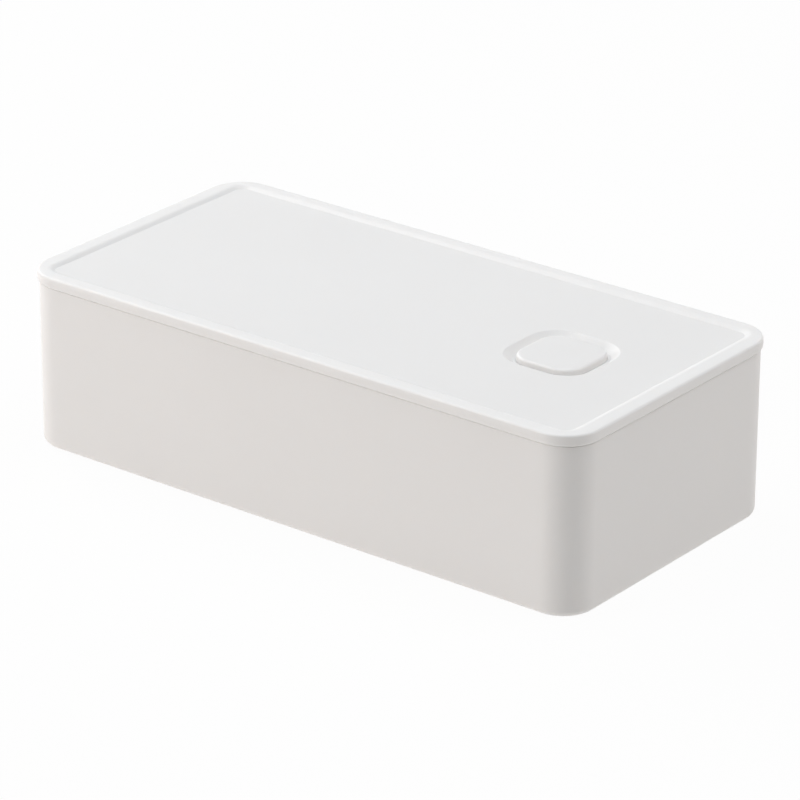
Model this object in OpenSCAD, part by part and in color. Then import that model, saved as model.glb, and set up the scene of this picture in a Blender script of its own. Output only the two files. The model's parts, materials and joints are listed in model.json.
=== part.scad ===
// Lidded storage box of moulded plastic, with a press-to-vent button in its lid.
// Millimetres, +Z up, origin at the middle of the base, long side along X,
// vent button towards +X.

/* [Box] */
// Overall length, measured over the lid
box_length = 245; // [200:1:320]
// Overall width, measured over the lid
box_width = 121; // [100:1:160]
// Overall height, from the base to the rim of the lid
box_height = 67.5; // [60:0.5:110]
// Corner radius of the lid, seen from above
corner_radius = 14; // [12:0.5:20]

/* [Tub] */
// Thickness of the tub's side walls
tub_wall = 2.2; // [2:0.1:3]
// Thickness of the tub's floor
tub_floor = 2.4; // [1.8:0.1:4]
// Radius where the walls turn into the base
base_edge_radius = 2.6; // [1:0.1:4]
// Radius of the inside edge between walls and floor
inner_edge_radius = 2; // [1:0.5:6]
// How far the middle of the base is raised above the standing band
base_recess = 0.8; // [0.3:0.1:1.2]
// Width of the flat band that the box stands on
standing_band = 7; // [4:0.5:12]
// Corner radius of the hollow inside that band
base_hollow_radius = 7; // [4:0.5:12]

/* [Lid] */
// Height of the lid's edge, seen from the side
lid_edge_height = 4.5; // [4.4:0.1:8]
// How far the lid stands out beyond the tub's walls
lid_overhang = 0.9; // [0.5:0.1:1.2]
// Shadow gap between the lid's edge and the tub's shoulder
shadow_gap = 0.25; // [0.2:0.05:0.8]
// Thickness of the lid's outer skirt
skirt_thickness = 1.3; // [1.2:0.1:1.6]
// Sideways play between the skirt and the tub's tongue
skirt_play = 0.25; // [0.15:0.05:0.4]
// Rounding of the lid's top outer edge
lid_edge_radius = 0.9; // [0.6:0.1:1.6]
// Rounding of the lid's lower outer edge
skirt_edge_radius = 0.8; // [0.2:0.1:0.8]
// Thickness of the lid over the gasket
rim_thickness = 1.8; // [1.5:0.1:2.4]
// Thickness of the lid's panel
panel_thickness = 1.8; // [1.5:0.1:2.4]
// How far the panel lies below the rim
rim_rise = 0.9; // [0.5:0.1:1.2]
// Width of the rim along the long sides, up to its inner slope
rim_side_width = 4.5; // [3.5:0.1:6]
// Width of the rim along the short ends, up to its inner slope
rim_end_width = 5.3; // [3.5:0.1:7]
// Width of the slope from the rim down to the panel
rim_slope_width = 2.7; // [1.5:0.1:4]
// Corner radius of the panel
panel_radius = 4.5; // [4:0.5:8]
// Thickness of the inner wall that plugs into the tub
plug_wall = 1.6; // [1.2:0.1:2]
// Sideways play between the plug wall and the tub
plug_play = 0.5; // [0.3:0.1:0.8]
// How far the plug wall reaches down into the tub
plug_depth = 5; // [3:0.5:8]
// Thickness of the lid gasket, as squeezed
gasket_thickness = 1.5; // [1:0.1:2]
// Sideways play of the lid gasket in its channel
gasket_play = 0.1; // [0.05:0.05:0.2]

/* [Vent button] */
// Distance of the button's middle from the end of the lid
vent_end_distance = 49.5; // [46:0.5:100]
// Width of the button
button_width = 27.2; // [25:0.1:30]
// Corner radius of the button
button_radius = 8; // [7:0.5:10]
// Rounding of the button's top edge
button_edge_radius = 0.9; // [0.3:0.1:1.2]
// Height of the button
button_height = 8; // [7:0.5:10]
// Wall thickness of the button
button_wall = 1.6; // [1.2:0.1:2]
// How far the button travels when pressed
button_travel = 2.5; // [1.5:0.1:3]
// Play between the button and its well
button_play = 0.35; // [0.3:0.05:0.5]
// Width of the dish round the button, at the panel
dish_width = 35.2; // [34:0.1:38]
// Depth of the sloping dish
dish_depth = 3; // [2.8:0.1:4]
// Rounding of the dish's outer edge
dish_edge_radius = 0.8; // [0.3:0.1:1]

/* [Vent valve] */
// Thickness of the pad below the panel that the valve housing is screwed to
seat_pad_depth = 4; // [3:0.5:5]
// How far the pad and the housing's flange reach beyond the housing's wall
flange_ledge = 5.2; // [4.8:0.1:7]
// Thickness of the flat seal between lid and housing
housing_seal_thickness = 0.8; // [0.5:0.1:1.2]
// Thickness of the housing's flange
flange_thickness = 1.8; // [1.5:0.1:2.5]
// Wall thickness of the housing
housing_wall = 1.8; // [1.4:0.1:2]
// Radius of the stem
stem_radius = 2.5; // [2:0.1:3]
// Radial play of the stem in its guide
stem_play = 0.06; // [0.03:0.01:0.1]
// Number of air ports in the housing's floor
port_count = 6; // [4:1:8]
// Radius of an air port
port_radius = 1.1; // [0.8:0.1:1.2]
// How far the poppet seal reaches beyond its seat
poppet_lip = 1.4; // [0.8:0.1:2]
// Thickness of the poppet seal
poppet_thickness = 1.6; // [1.2:0.1:2.2]
// Thickness of the washer behind the poppet seal
washer_thickness = 0.8; // [0.5:0.1:1.2]
// Thickness of the retaining clip
clip_thickness = 0.7; // [0.5:0.1:1]
// Radius of the spring wire
spring_wire = 0.4; // [0.3:0.05:0.5]
// Number of turns in the spring
spring_turns = 5; // [3:1:5]

/* [Screws] */
// Radius of a screw's shank
screw_radius = 1.1; // [0.9:0.05:1.2]
// Radius of a screw's head
screw_head_radius = 2; // [1.8:0.1:2.2]
// Height of a screw's head
screw_head_height = 1.4; // [1:0.1:1.8]

/* [Hidden] */
$fn = 72;

// Overcut that carries a cutting shape clear of the face it opens
over = 1;

// Heights of the lid and tub
panel_top = box_height - rim_rise;
panel_under = panel_top - panel_thickness;
skirt_bottom = box_height - lid_edge_height;
channel_top = box_height - rim_thickness;
tongue_top = channel_top - gasket_thickness;
shoulder = skirt_bottom - shadow_gap;
plug_bottom = tongue_top - plug_depth;

// Distances inwards from the lid's outer face
tub_inset = lid_overhang;
tongue_inset = skirt_thickness + skirt_play;
cavity_inset = lid_overhang + tub_wall;
plug_inset = cavity_inset + plug_play;
pocket_inset = plug_inset + plug_wall;

// Heights of the vent valve
dish_bottom = panel_top - dish_depth;
button_bottom = panel_top - button_height;
button_ceiling = panel_top - button_wall;
pad_bottom = panel_under - seat_pad_depth;
flange_top = pad_bottom - housing_seal_thickness;
flange_bottom = flange_top - flange_thickness;
button_end_gap = 0.5;
housing_floor = button_bottom - button_travel - button_end_gap;
housing_bottom = housing_floor - housing_wall;
seat_height = 0.5;
poppet_top = housing_bottom - seat_height;
washer_top = poppet_top - poppet_thickness;
clip_top = washer_top - washer_thickness;
groove_play = 0.04;
groove_bottom = clip_top - clip_thickness - groove_play;
stem_tip = 0.8;
stem_bottom = groove_bottom - stem_tip;
stem_cover = 0.6;
stem_top = button_ceiling + stem_cover;

// Sizes of the vent valve across
vent_offset = box_length / 2 - vent_end_distance;
well_width = button_width + 2 * button_play;
well_radius = button_radius + button_play;
dish_flare = (dish_width - well_width) / 2;
pad_width = well_width + 2 * (housing_wall + flange_ledge);
pad_radius = well_radius + housing_wall + flange_ledge;
boss_wall = 1.8;
boss_radius = stem_radius + boss_wall;
boss_drop = 3.2;
guide_radius = stem_radius + stem_play;
guide_top = button_ceiling - boss_drop - button_travel - button_end_gap;
press_grip = 0.02;
poppet_grip = 0.1;
port_margin = 0.4;
port_circle = boss_radius + port_radius + port_margin;
seat_width = 0.8;
seat_radius = port_circle + port_radius + port_margin;
poppet_radius = seat_radius + seat_width + poppet_lip;
washer_radius = seat_radius + seat_width;
washer_play = 0.05;
groove_depth = 0.6;
groove_radius = stem_radius - groove_depth;
clip_reach = 1.8;
clip_radius = stem_radius + clip_reach;
clip_mouth = 1.3 * groove_radius;

// Spring between the housing's floor and the button's ceiling, round the guide
spring_play = 0.5;
spring_radius = boss_radius + spring_wire + spring_play;
spring_rings = 12;
spring_sides = 8;
spring_foot = housing_floor + spring_wire;
spring_rise = button_ceiling - spring_wire - spring_foot;

// Screws at the corners of the flange: clearance in the flange, bite in the lid
screw_offset = well_width / 2 - well_radius
    + (well_radius + housing_wall + flange_ledge / 2) * cos(45);
screw_clearance = 0.2;
screw_bite = 0.15;
screw_end = panel_under;
screw_tip = 0.4;
recess_arm = 0.7;
recess_width = 0.5;
recess_depth = 0.8;

function inset_length(inset) = box_length - 2 * inset;
function inset_width(inset) = box_width - 2 * inset;
function inset_radius(inset) = corner_radius - inset;

// Runs a flat profile round a rounded rectangle. The profile's x is the distance
// outwards from the middle of each corner, and its y is the height.
module round_rectangle_sweep(length, width, radius) {
    for (side = [0:3]) {
        across = side % 2 == 0 ? length : width;
        along = side % 2 == 0 ? width : length;
        rotate(90 * side)
            translate([across / 2 - radius, along / 2 - radius, 0]) {
                rotate_extrude(angle = 90) children();
                rotate([90, 0, 0]) linear_extrude(along - 2 * radius) children();
            }
    }
}

// Fills the middle of a rounded rectangle, between the middles of its corners
module core(length, width, radius, bottom, top) {
    translate([radius - length / 2, radius - width / 2, bottom])
        cube([length - 2 * radius, width - 2 * radius, top - bottom]);
}

// Takes the outer corner off a profile with an arc. The arc's middle is at the
// children's origin, and direction is +1 for an upper edge and -1 for a lower one.
module round_off(edge, direction) {
    difference() {
        translate([0, direction > 0 ? 0 : -edge - over]) square(edge + over);
        circle(edge);
    }
}

// Upright block with a rounded outline and rounded lower and upper edges
module rounded_block(length, width, radius, bottom, top, lower_edge = 0, upper_edge = 0) {
    round_rectangle_sweep(length, width, radius)
        difference() {
            translate([0, bottom]) square([radius, top - bottom]);
            if (lower_edge > 0)
                translate([radius - lower_edge, bottom + lower_edge]) round_off(lower_edge, -1);
            if (upper_edge > 0)
                translate([radius - upper_edge, top - upper_edge]) round_off(upper_edge, 1);
        }
    core(length, width, radius, bottom, top);
}

// Rounded block that follows the lid's outline at a distance inwards from it
module inset_block(inset, bottom, top, lower_edge = 0, upper_edge = 0) {
    rounded_block(inset_length(inset), inset_width(inset), inset_radius(inset), bottom, top,
        lower_edge, upper_edge);
}

// Block that widens by flare on every side between its bottom and its top
module flared_block(length, width, radius, bottom, top, flare) {
    round_rectangle_sweep(length, width, radius)
        polygon([[0, bottom], [radius, bottom], [radius + flare, top], [0, top]]);
    core(length, width, radius, bottom, top);
}

// Places the children at the vent button
module at_vent() {
    translate([vent_offset, 0, 0]) children();
}

// Places the children at each screw of the valve housing
module at_screws() {
    for (x = [-screw_offset, screw_offset], y = [-screw_offset, screw_offset])
        translate([x, y, 0]) children();
}

// Open box, with a tongue round its mouth and a standing band round its base
module tub() {
    color("gainsboro")
        difference() {
            union() {
                inset_block(tub_inset, 0, shoulder, lower_edge = base_edge_radius);
                inset_block(tongue_inset, shoulder - over, tongue_top);
            }
            inset_block(cavity_inset, tub_floor, tongue_top + over, lower_edge = inner_edge_radius);
            base_hollow();
        }
}

// Shallow hollow in the base, inside the standing band
module base_hollow() {
    inset = tub_inset + base_edge_radius + standing_band;
    flared_block(inset_length(inset), inset_width(inset), base_hollow_radius, -over, base_recess,
        -base_recess);
}

// Cover with a raised rim, an outer skirt, a plug wall and the dish of the vent
module lid() {
    color("whitesmoke")
        difference() {
            union() {
                inset_block(0, skirt_bottom, box_height, skirt_edge_radius, lid_edge_radius);
                inset_block(plug_inset, plug_bottom, channel_top);
            }
            panel_recess();
            gasket_channel();
            lid_pocket();
            at_vent() dish();
            at_vent() at_screws() screw_pilot();
        }
}

// Space above the panel, inside the rim
module panel_recess() {
    length = inset_length(rim_end_width + rim_slope_width);
    width = inset_width(rim_side_width + rim_slope_width);
    slope = rim_slope_width / rim_rise;
    flared_block(length, width, panel_radius, panel_top, box_height + over,
        rim_slope_width + slope * over);
}

// Groove between the skirt and the plug wall
module gasket_channel() {
    difference() {
        inset_block(skirt_thickness, plug_bottom - over, channel_top);
        inset_block(plug_inset, plug_bottom - 2 * over, channel_top + over);
    }
}

// Hollow under the panel, inside the plug wall, round the pad of the valve
module lid_pocket() {
    difference() {
        inset_block(pocket_inset, plug_bottom - over, panel_under);
        at_vent() rounded_block(pad_width, pad_width, pad_radius, pad_bottom, panel_under + over);
    }
}

// Sloping dish and the well below it that the button moves in
module dish() {
    rounded_block(well_width, well_width, well_radius, plug_bottom - over, panel_top + over);
    flared_block(well_width, well_width, well_radius, dish_bottom, panel_top, dish_flare);
    dish_lip();
}

// Rounds the edge where the dish meets the panel
module dish_lip() {
    slope_angle = atan2(dish_depth, dish_flare);
    reach = dish_edge_radius * tan(slope_angle / 2);
    edge = well_radius + dish_flare;
    round_rectangle_sweep(well_width, well_width, well_radius)
        difference() {
            polygon([
                [edge - reach * cos(slope_angle), panel_top - reach * sin(slope_angle)],
                [edge + reach, panel_top],
                [edge + reach, panel_top + over],
                [edge - reach * cos(slope_angle), panel_top + over]
            ]);
            translate([edge + reach, panel_top - dish_edge_radius]) circle(dish_edge_radius);
        }
}

// Hole that a screw cuts its thread in
module screw_pilot() {
    translate([0, 0, pad_bottom - over])
        cylinder(r = screw_radius - screw_bite, h = screw_end + over - pad_bottom);
}

// Soft ring in the lid's channel, pressed on the top of the tub's tongue
module lid_gasket() {
    outer = skirt_thickness + gasket_play;
    inner = plug_inset - gasket_play;
    foot_width = cavity_inset - tongue_inset;
    shoulder_height = tongue_top + gasket_thickness / 2;
    radius = corner_radius;
    color("lightgray")
        round_rectangle_sweep(box_length, box_width, corner_radius)
            polygon([
                [radius - outer, channel_top],
                [radius - inner, channel_top],
                [radius - inner, shoulder_height],
                [radius - tongue_inset - foot_width, tongue_top],
                [radius - tongue_inset, tongue_top],
                [radius - outer, shoulder_height]
            ]);
}

// Hollow push button with a socket for the stem
module vent_button() {
    inner_width = button_width - 2 * button_wall;
    inner_radius = button_radius - button_wall;
    color("whitesmoke")
        at_vent()
            difference() {
                union() {
                    difference() {
                        rounded_block(button_width, button_width, button_radius, button_bottom,
                            panel_top, upper_edge = button_edge_radius);
                        rounded_block(inner_width, inner_width, inner_radius, button_bottom - over,
                            button_ceiling);
                    }
                    translate([0, 0, button_ceiling - boss_drop])
                        cylinder(r = boss_radius, h = boss_drop + stem_cover);
                }
                translate([0, 0, button_ceiling - boss_drop - over])
                    cylinder(r = stem_radius - press_grip, h = boss_drop + stem_cover + over);
            }
}

// Pin pressed into the button, with a groove for the clip at its lower end
module vent_stem() {
    color("silver")
        at_vent()
            rotate_extrude()
                polygon([
                    [0, stem_bottom],
                    [stem_radius - stem_tip / 2, stem_bottom],
                    [stem_radius, stem_bottom + stem_tip / 2],
                    [stem_radius, groove_bottom],
                    [groove_radius, groove_bottom],
                    [groove_radius, clip_top],
                    [stem_radius, clip_top],
                    [stem_radius, stem_top],
                    [0, stem_top]
                ]);
}

// Point on the spring's wire, a given number of turns from its foot
function spring_middle(turn) = [
    spring_radius * cos(360 * turn),
    spring_radius * sin(360 * turn),
    spring_foot + spring_rise * turn / spring_turns
];

// Ring of points round the wire at that place
function spring_ring(turn) = [
    for (side = [0:spring_sides - 1])
        let (angle = 360 * side / spring_sides, out = spring_wire * cos(angle))
            spring_middle(turn)
                + [out * cos(360 * turn), out * sin(360 * turn), spring_wire * sin(angle)]
];

// Coil spring that lifts the button
module vent_spring() {
    steps = spring_turns * spring_rings;
    last = steps * spring_sides;
    points = [for (step = [0:steps]) each spring_ring(step / spring_rings)];
    faces = [
        [for (side = [0:spring_sides - 1]) side],
        for (step = [0:steps - 1], side = [0:spring_sides - 1])
            let (
                a = step * spring_sides + side,
                b = step * spring_sides + (side + 1) % spring_sides
            )
                each [[a, a + spring_sides, b], [b, a + spring_sides, b + spring_sides]],
        [for (side = [spring_sides - 1:-1:0]) last + side]
    ];
    gaps = [
        for (step = [0:steps - spring_rings], a = [0:spring_sides - 1], b = [0:spring_sides - 1])
            norm(points[step * spring_sides + a] - points[(step + spring_rings) * spring_sides + b])
    ];
    echo(spring_least_gap = min(gaps));
    color("silver") at_vent() polyhedron(points, faces, convexity = 10);
}

// Cup under the lid that guides the stem and holds the valve seat
module vent_housing() {
    outer_width = well_width + 2 * housing_wall;
    outer_radius = well_radius + housing_wall;
    color("gainsboro")
        at_vent()
            difference() {
                union() {
                    rounded_block(pad_width, pad_width, pad_radius, flange_bottom, flange_top);
                    rounded_block(outer_width, outer_width, outer_radius, housing_bottom, flange_top);
                    valve_seat();
                }
                difference() {
                    rounded_block(well_width, well_width, well_radius, housing_floor, flange_top + over);
                    cylinder(r = boss_radius, h = guide_top);
                }
                translate([0, 0, poppet_top - over])
                    cylinder(r = guide_radius, h = guide_top - poppet_top + 2 * over);
                air_ports();
                at_screws()
                    translate([0, 0, flange_bottom - over])
                        cylinder(r = screw_radius + screw_clearance, h = flange_thickness + 2 * over);
            }
}

// Raised ring under the housing that the poppet seal closes on
module valve_seat() {
    translate([0, 0, poppet_top])
        difference() {
            cylinder(r = seat_radius + seat_width, h = seat_height + over);
            translate([0, 0, -over]) cylinder(r = seat_radius, h = seat_height + 3 * over);
        }
}

// Holes that let the air through the housing's floor
module air_ports() {
    for (port = [1:port_count])
        rotate(360 * port / port_count)
            translate([port_circle, 0, poppet_top - over])
                cylinder(r = port_radius, h = housing_floor - poppet_top + 2 * over);
}

// Flat soft frame between the lid's pad and the housing's flange
module housing_seal() {
    color("lightgray")
        at_vent()
            difference() {
                rounded_block(pad_width, pad_width, pad_radius, flange_top, pad_bottom);
                rounded_block(well_width, well_width, well_radius, flange_top - over, pad_bottom + over);
                at_screws()
                    translate([0, 0, flange_top - over])
                        cylinder(r = screw_radius + screw_clearance,
                            h = housing_seal_thickness + 2 * over);
            }
}

// Four pan-head screws that hold the housing to the lid
module housing_screws() {
    color("silver") at_vent() at_screws() housing_screw();
}

// One screw, head down, with a cross recess
module housing_screw() {
    head_bottom = flange_bottom - screw_head_height;
    difference() {
        rotate_extrude()
            polygon([
                [0, head_bottom],
                [screw_head_radius - screw_head_height / 2, head_bottom],
                [screw_head_radius, head_bottom + screw_head_height / 2],
                [screw_head_radius, flange_bottom],
                [screw_radius, flange_bottom],
                [screw_radius, screw_end - screw_tip - screw_radius / 2],
                [screw_radius / 2, screw_end - screw_tip],
                [0, screw_end - screw_tip]
            ]);
        for (turn = [0, 90])
            rotate(turn)
                translate([-recess_arm, -recess_width / 2, head_bottom - over])
                    cube([2 * recess_arm, recess_width, recess_depth + over]);
    }
}

// Soft disc that closes the valve
module poppet_seal() {
    color("lightgray")
        at_vent()
            translate([0, 0, washer_top])
                difference() {
                    cylinder(r = poppet_radius, h = poppet_thickness);
                    translate([0, 0, -over])
                        cylinder(r = stem_radius - poppet_grip, h = poppet_thickness + 2 * over);
                }
}

// Stiff disc that backs the poppet seal
module poppet_washer() {
    color("silver")
        at_vent()
            translate([0, 0, clip_top])
                difference() {
                    cylinder(r = washer_radius, h = washer_thickness);
                    translate([0, 0, -over])
                        cylinder(r = stem_radius + washer_play, h = washer_thickness + 2 * over);
                }
}

// Open ring snapped into the stem's groove
module stem_clip() {
    color("silver")
        at_vent()
            translate([0, 0, clip_top - clip_thickness])
                difference() {
                    cylinder(r = clip_radius, h = clip_thickness);
                    translate([0, 0, -over])
                        cylinder(r = groove_radius + groove_play, h = clip_thickness + 2 * over);
                    translate([0, -clip_mouth / 2, -over])
                        cube([clip_radius + over, clip_mouth, clip_thickness + 2 * over]);
                }
}

tub();
lid();
lid_gasket();
vent_button();
vent_stem();
vent_spring();
vent_housing();
housing_seal();
housing_screws();
poppet_seal();
poppet_washer();
stem_clip();
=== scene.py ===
# %% [markdown]
# # A lidded storage box with a vent button
#
# The object is a white moulded box: a tub, a lift-off lid with a raised rim, and a rounded-square
# button that lets air out when it is pressed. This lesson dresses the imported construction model:
# it reads the model's frame, builds a finished mesh for every piece in that frame, gives each
# surface a finish made of nodes, and lights the box as in a plain white studio.

# %% Load the frame
import json
import math
from collections import namedtuple

import bmesh
import bpy
from mathutils import Matrix, Vector


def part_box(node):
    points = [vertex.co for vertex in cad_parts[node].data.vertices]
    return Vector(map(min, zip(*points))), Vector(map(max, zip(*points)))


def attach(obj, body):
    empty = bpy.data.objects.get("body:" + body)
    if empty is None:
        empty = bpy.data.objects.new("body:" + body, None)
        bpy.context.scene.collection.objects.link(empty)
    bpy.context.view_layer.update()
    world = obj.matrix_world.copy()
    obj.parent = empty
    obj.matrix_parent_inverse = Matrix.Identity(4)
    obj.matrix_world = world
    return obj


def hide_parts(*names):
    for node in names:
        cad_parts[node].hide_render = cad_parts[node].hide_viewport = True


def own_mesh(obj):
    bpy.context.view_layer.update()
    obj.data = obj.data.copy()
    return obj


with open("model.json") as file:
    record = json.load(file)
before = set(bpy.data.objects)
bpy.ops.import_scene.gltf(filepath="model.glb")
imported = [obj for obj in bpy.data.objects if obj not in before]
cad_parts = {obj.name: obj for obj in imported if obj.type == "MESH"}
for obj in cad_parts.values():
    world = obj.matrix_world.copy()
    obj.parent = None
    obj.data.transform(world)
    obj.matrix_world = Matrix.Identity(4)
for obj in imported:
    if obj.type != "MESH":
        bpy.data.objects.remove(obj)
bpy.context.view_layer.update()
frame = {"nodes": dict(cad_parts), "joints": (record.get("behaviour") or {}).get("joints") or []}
MM = 0.001
scene = bpy.context.scene
print("nodes in the frame:", sorted(frame["nodes"]))

# %% [markdown]
# ## Sizes
#
# Heights and widths that the frame knows are read from it, so the looks follow the construction.
# Wall thicknesses and roundings can't be read from a box, so they are written out where they are
# first needed, in millimetres, and turned into metres once.

# %% Sizes from the frame
LID_LOW, LID_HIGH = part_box("lid")
TUB_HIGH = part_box("tub")[1]
BUTTON_LOW, BUTTON_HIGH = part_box("vent_button")

HALF_LENGTH = LID_HIGH.x
HALF_WIDTH = LID_HIGH.y
RIM_TOP = LID_HIGH.z
PLUG_BOTTOM = LID_LOW.z
TONGUE_TOP = TUB_HIGH.z
PANEL_TOP = BUTTON_HIGH.z
VENT_X = (BUTTON_LOW.x + BUTTON_HIGH.x) / 2
BUTTON_HALF = (BUTTON_HIGH.x - BUTTON_LOW.x) / 2
TUB_INSET = HALF_LENGTH - TUB_HIGH.x
BOX_MIDDLE = Vector((0, 0, RIM_TOP / 2))
print(f"lid {2e3 * HALF_LENGTH:.1f} x {2e3 * HALF_WIDTH:.1f} mm, rim {1e3 * RIM_TOP:.1f} mm up,"
      f" button {2e3 * BUTTON_HALF:.1f} mm wide at x = {1e3 * VENT_X:.1f} mm")

# %% [markdown]
# ## Camera
#
# A long lens from the front right, a little above the box. The angle, the distance and the lens
# were measured by fitting the box's outline to the photograph, so that every edge falls where the
# photograph has it. Blender takes the lens and the sensor in millimetres.

# %% Camera
AZIMUTH = math.radians(37.733)
ELEVATION = math.radians(23.549)
ROLL = math.radians(0.32)
DISTANCE = 1625.9 * MM
AIM_RIGHT = 2.21 * MM
AIM_DOWN = 4.37 * MM
SENSOR = 36.0
LENS = 205.8


def direction(azimuth, elevation):
    """Unit vector from the box towards an azimuth and elevation in radians."""
    level = math.cos(elevation)
    return Vector((math.sin(azimuth) * level, -math.cos(azimuth) * level, math.sin(elevation)))


def make_camera():
    back = direction(AZIMUTH, ELEVATION)
    right = Vector((math.cos(AZIMUTH), math.sin(AZIMUTH), 0))
    right = Matrix.Rotation(ROLL, 3, back) @ right
    up = back.cross(right)
    data = bpy.data.cameras.new("camera")
    data.lens = LENS
    data.sensor_width = SENSOR
    camera = bpy.data.objects.new("camera", data)
    camera.matrix_world = Matrix((right, up, back)).transposed().to_4x4()
    camera.location = BOX_MIDDLE + back * DISTANCE + right * AIM_RIGHT - up * AIM_DOWN
    scene.collection.objects.link(camera)
    scene.camera = camera
    return camera


camera = make_camera()
scene.view_settings.view_transform = "Standard"
print("camera at", [round(value, 4) for value in camera.location])

# %% [markdown]
# ## Node maths
#
# Geometry and shader trees both do arithmetic with nodes. One small class wraps a node's output,
# so that a formula can be written as plain Python. Every other kind of node comes from its `node`
# method: settings first, then the values or links of its sockets.


# %% A wire that does arithmetic
class Wire:
    """One output of a node in a tree. Operators on wires add Math nodes to the tree."""

    def __init__(self, tree, socket=None):
        self.tree = tree
        self.socket = socket

    def node(self, kind, settings=None, sockets=None, output=0):
        made = self.tree.nodes.new(kind)
        for name, value in (settings or {}).items():
            setattr(made, name, value)
        for name, value in (sockets or {}).items():
            if isinstance(value, Wire):
                self.tree.links.new(value.socket, made.inputs[name])
            else:
                made.inputs[name].default_value = value
        return Wire(self.tree, made.outputs[output])

    def math(self, operation, *values):
        return self.node("ShaderNodeMath", {"operation": operation}, dict(enumerate(values)))

    def __add__(self, other):
        return self.math("ADD", self, other)

    def __sub__(self, other):
        return self.math("SUBTRACT", self, other)

    def __rsub__(self, other):
        return self.math("SUBTRACT", other, self)

    def __mul__(self, other):
        return self.math("MULTIPLY", self, other)

    def __truediv__(self, other):
        return self.math("DIVIDE", self, other)

    __radd__ = __add__
    __rmul__ = __mul__

    def floor(self):
        return self.math("FLOOR", self)


# %% [markdown]
# ## Finishes
#
# Tub and lid are moulded in one warm white plastic. The tub is finely matt; the lid is a little
# smoother, and only its flat panel and the button's top are tinted a little darker and rougher.
# A moulded surface is never one flat colour. It has cloudy flow marks a few centimetres wide, a
# fine grain from the mould's texture, and a gloss that varies with both. All patterns use Object
# coordinates, so they stay put on a piece.


# %% Helpers for finishes
def new_finish(name):
    """A new material, its shader, and a wire to start from."""
    material = bpy.data.materials.new(name)
    material.use_nodes = True
    shader = material.node_tree.nodes["Principled BSDF"]
    return material, shader, Wire(material.node_tree)


def feed(wire, shader, socket):
    """Links a wire to a shader's socket."""
    wire.tree.links.new(wire.socket, shader.inputs[socket])


def set_plain(shader, values):
    """Sets the sockets that are the same all over the surface."""
    for socket, value in values.items():
        shader.inputs[socket].default_value = value


def noise(start, vector, scale, detail=2.0, roughness=0.5):
    return start.node("ShaderNodeTexNoise", sockets={
        "Vector": vector, "Scale": scale, "Detail": detail, "Roughness": roughness})


def tinted(start, factor, dark, light):
    """Colour between two RGB colours, by a factor from 0 to 1."""
    return start.node(
        "ShaderNodeMix", {"data_type": "RGBA"},
        {"Factor": factor, 6: (*dark, 1), 7: (*light, 1)}, output=2)


def bumped(start, height, distance, strength):
    return start.node("ShaderNodeBump", sockets={
        "Height": height, "Distance": distance, "Strength": strength})


# %% Moulded plastics
WHITE_DARK = (0.765, 0.745, 0.726)
WHITE_LIGHT = (0.868, 0.845, 0.824)
CLOUD_SCALE = 14.0
CLOUD_TONE, CLOUD_ROUGH = 0.25, 0.06
GRAIN_SCALE = 2600.0
GRAIN_TONE, GRAIN_ROUGH = 0.12, 0.08
# Darker tint and extra roughness for the flat surfaces at one height: the lid's panel and the
# button's top.
LEVEL_DARKENING, LEVEL_ROUGHENING = 0.34, 0.06
LEVEL_BAND = 0.12 * MM


def near_height(place, height):
    """1 on surfaces at one height of the piece, 0 everywhere else."""
    level = place.node("ShaderNodeSeparateXYZ", sockets={"Vector": place}, output="Z")
    away = level.math("ABSOLUTE", level - height) / LEVEL_BAND
    return 1 - away.math("MINIMUM", away, 1.0)


def moulded_plastic(name, whiteness, roughness, grain_depth, darker_level=None):
    """White plastic with flow clouds, mould grain, a soft inner glow and, at one height if given,
    a darker, rougher tint.
    """
    material, shader, start = new_finish(name)
    place = start.node("ShaderNodeTexCoord", output="Object")
    clouds = noise(start, place, CLOUD_SCALE, detail=3.0)
    grain = noise(start, place, GRAIN_SCALE, roughness=0.6)
    white = whiteness + (clouds - 0.5) * CLOUD_TONE + (grain - 0.5) * GRAIN_TONE
    rough = roughness + clouds * CLOUD_ROUGH + grain * GRAIN_ROUGH
    # Surfaces at the given height get a darker, rougher tint.
    if darker_level:
        level_mask = near_height(place, darker_level)
        white = white - level_mask * LEVEL_DARKENING
        rough = rough + level_mask * LEVEL_ROUGHENING
    feed(tinted(start, white, WHITE_DARK, WHITE_LIGHT), shader, "Base Color")
    feed(rough, shader, "Roughness")
    feed(bumped(start, grain, grain_depth, strength=0.5), shader, "Normal")
    set_plain(shader, {
        "IOR": 1.49, "Specular IOR Level": 0.45, "Subsurface Weight": 0.5,
        "Subsurface Radius": (1.0, 0.95, 0.9), "Subsurface Scale": 1.5 * MM})
    return material


TUB_PLASTIC = moulded_plastic(
    "matt_white_moulding", whiteness=0.42, roughness=0.40, grain_depth=0.02 * MM)
LID_PLASTIC = moulded_plastic(
    "satin_white_moulding", whiteness=0.50, roughness=0.36, grain_depth=0.014 * MM,
    darker_level=PANEL_TOP)
print("plastics:", TUB_PLASTIC.name, LID_PLASTIC.name)


# %% [markdown]
# ## Silicone and steel
#
# The gasket and the soft pieces of the valve are milky silicone: light goes a little way in, a
# bloom clouds the skin, and the skin has a fine tooth. The stem, the spring, the washer, the clip
# and the screws are bright steel, with the fine lines that drawing leaves along the wire.

# %% Silicone and steel
SILICONE_DARK, SILICONE_LIGHT = (0.70, 0.71, 0.71), (0.80, 0.81, 0.81)
SILICONE_ROUGH, BLOOM_ROUGH = 0.38, 0.2
BLOOM_SCALE = 120.0
SKIN_SCALE = 900.0
SKIN_DEPTH = 0.02 * MM
STEEL_DARK, STEEL_LIGHT = (0.50, 0.50, 0.51), (0.68, 0.68, 0.69)
STEEL_ROUGH, LINE_ROUGH = 0.20, 0.22
LINE_SCALE = 700.0
LINE_STRETCH = (1, 1, 14)
LINE_DEPTH = 0.006 * MM


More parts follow.
